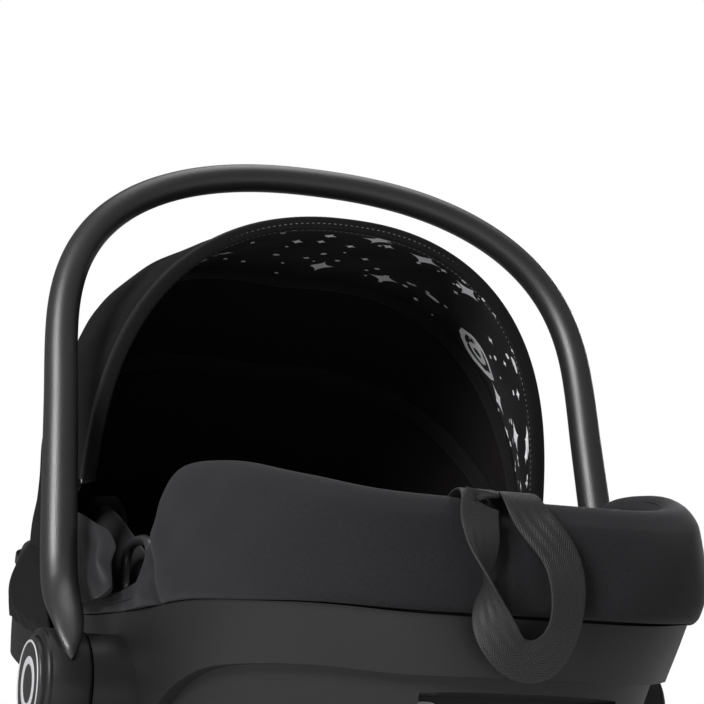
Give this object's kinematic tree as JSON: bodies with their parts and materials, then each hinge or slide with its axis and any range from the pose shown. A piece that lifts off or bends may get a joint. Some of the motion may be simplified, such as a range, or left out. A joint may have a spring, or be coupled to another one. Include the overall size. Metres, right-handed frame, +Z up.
{
  "type": "infant car seat",
  "caption": "Rear-facing infant carrier: a reclined padded bucket with a swinging carry handle, a folding canopy, a harness and a rocking base.",
  "frame": {"origin": "on the floor, under the middle of the seat", "axes": "+Z up, +Y towards the head end, -Y towards the foot end, +X across the seat"},
  "size_m": [0.449, 0.649, 0.6056],
  "materials": {
    "shell_plastic": "fine grained",
    "tub_plastic": "moulded",
    "hub_plastic": "satin",
    "handle_coating": "matt black soft-touch",
    "button_plastic": "satin",
    "guide_plastic": "semi-gloss",
    "rubber_black": "matt",
    "pin_steel": "plain",
    "cover_fabric": "melange stretch knit",
    "cushion_fabric": "soft knit over foam",
    "canopy_fabric": "smooth woven",
    "print_fabric": "woven, printed with pale shapes",
    "bow_plastic": "plain",
    "webbing": "ribbed webbing",
    "foam": "expanded foam",
    "red_plastic": "semi-gloss"
  },
  "bodies": {
    "shell": {"upper_shell": "shell_plastic", "lower_shell": "shell_plastic", "seat_tub": "tub_plastic", "rocker_rail_left": "shell_plastic", "rocker_rail_right": "shell_plastic", "rocker_pad_front_left": "rubber_black", "rocker_pad_front_right": "rubber_black", "rocker_pad_rear_left": "rubber_black", "rocker_pad_rear_right": "rubber_black", "lock_bar_front": "pin_steel", "lock_bar_rear": "pin_steel", "seat_cover": "cover_fabric", "foam_liner": "foam", "seat_cushion": "cushion_fabric", "back_cushion": "cushion_fabric", "hub_boss_left": "hub_plastic", "hub_boss_right": "hub_plastic", "lock_gear_left": "pin_steel", "lock_gear_right": "pin_steel", "pivot_pin_left": "pin_steel", "pivot_pin_right": "pin_steel", "canopy_fixed_bow": "bow_plastic", "canopy_rear_panel": "canopy_fabric", "canopy_pin_left": "hub_plastic", "canopy_pin_right": "hub_plastic", "shoulder_strap_left": "webbing", "shoulder_strap_right": "webbing", "shoulder_pad_left": "cushion_fabric", "shoulder_pad_right": "cushion_fabric", "buckle_tongue_left": "pin_steel", "buckle_tongue_right": "pin_steel", "buckle_body": "guide_plastic", "crotch_strap": "webbing", "adjuster_housing": "guide_plastic", "front_strap": "webbing", "belt_guide_left": "guide_plastic", "belt_guide_right": "guide_plastic", "lever_mount_left": "shell_plastic", "lever_mount_right": "shell_plastic", "lever_pin": "pin_steel"},
    "carry_handle": {"handle_tube": "handle_coating", "handle_hub_left": "hub_plastic", "handle_hub_right": "hub_plastic", "button_spring_left": "pin_steel", "button_spring_right": "pin_steel"},
    "handle_button_left": {"handle_button_left": "button_plastic"},
    "handle_button_right": {"handle_button_right": "button_plastic"},
    "canopy_rear": {"canopy_rear_bow": "bow_plastic", "canopy_middle_panel": "canopy_fabric"},
    "canopy_middle": {"canopy_middle_bow": "bow_plastic", "canopy_front_panel": "print_fabric"},
    "canopy_front": {"canopy_front_bow": "bow_plastic"},
    "headrest": {"headrest_pad": "cushion_fabric"},
    "buckle_button": {"buckle_button": "red_plastic"},
    "adjuster_button": {"adjuster_button": "button_plastic"},
    "release_lever": {"release_lever": "guide_plastic"}
  },
  "joints": [
    {"name": "handle_swing", "type": "hinge", "parent": "shell", "child": "carry_handle", "pos_m": [0, -0.037, 0.205], "axis": [1, 0, 0], "range_deg": [-90, 35]},
    {"name": "handle_release_left", "type": "slide", "parent": "carry_handle", "child": "handle_button_left", "axis": [1, 0, 0], "range_m": [0, 0.004], "stiffness_N_per_m": 500},
    {"name": "handle_release_right", "type": "slide", "parent": "carry_handle", "child": "handle_button_right", "axis": [-1, 0, 0], "range_m": [0, 0.004], "stiffness_N_per_m": 500},
    {"name": "canopy_fold", "type": "hinge", "parent": "shell", "child": "canopy_rear", "pos_m": [0, 0.044, 0.301], "axis": [1, 0, 0], "range_deg": [-30, 0]},
    {"name": "canopy_fold_middle", "type": "hinge", "parent": "canopy_rear", "child": "canopy_middle", "pos_m": [0, 0.044, 0.301], "axis": [1, 0, 0], "range_deg": [-20, 0]},
    {"name": "canopy_fold_front", "type": "hinge", "parent": "canopy_middle", "child": "canopy_front", "pos_m": [0, 0.044, 0.301], "axis": [1, 0, 0], "range_deg": [-26, 0]},
    {"name": "headrest_height", "type": "slide", "parent": "shell", "child": "headrest", "axis": [0, 0.8117, 0.584], "range_m": [-0.04, 0]},
    {"name": "buckle_press", "type": "slide", "parent": "shell", "child": "buckle_button", "axis": [0, 0.584, -0.8117], "range_m": [0, 0.003], "stiffness_N_per_m": 500},
    {"name": "adjuster_press", "type": "slide", "parent": "shell", "child": "adjuster_button", "axis": [0, -0.4626, -0.8866], "range_m": [0, 0.003], "stiffness_N_per_m": 500},
    {"name": "base_release", "type": "hinge", "parent": "shell", "child": "release_lever", "pos_m": [0, 0.32, 0.245], "axis": [1, 0, 0], "range_deg": [0, 14], "stiffness_Nm_per_rad": 0.5}
  ],
  "couplings": [
    {"joint": "canopy_fold_middle", "follows": "canopy_fold", "ratio": 0.66},
    {"joint": "canopy_fold_front", "follows": "canopy_fold", "ratio": 0.866}
  ]
}
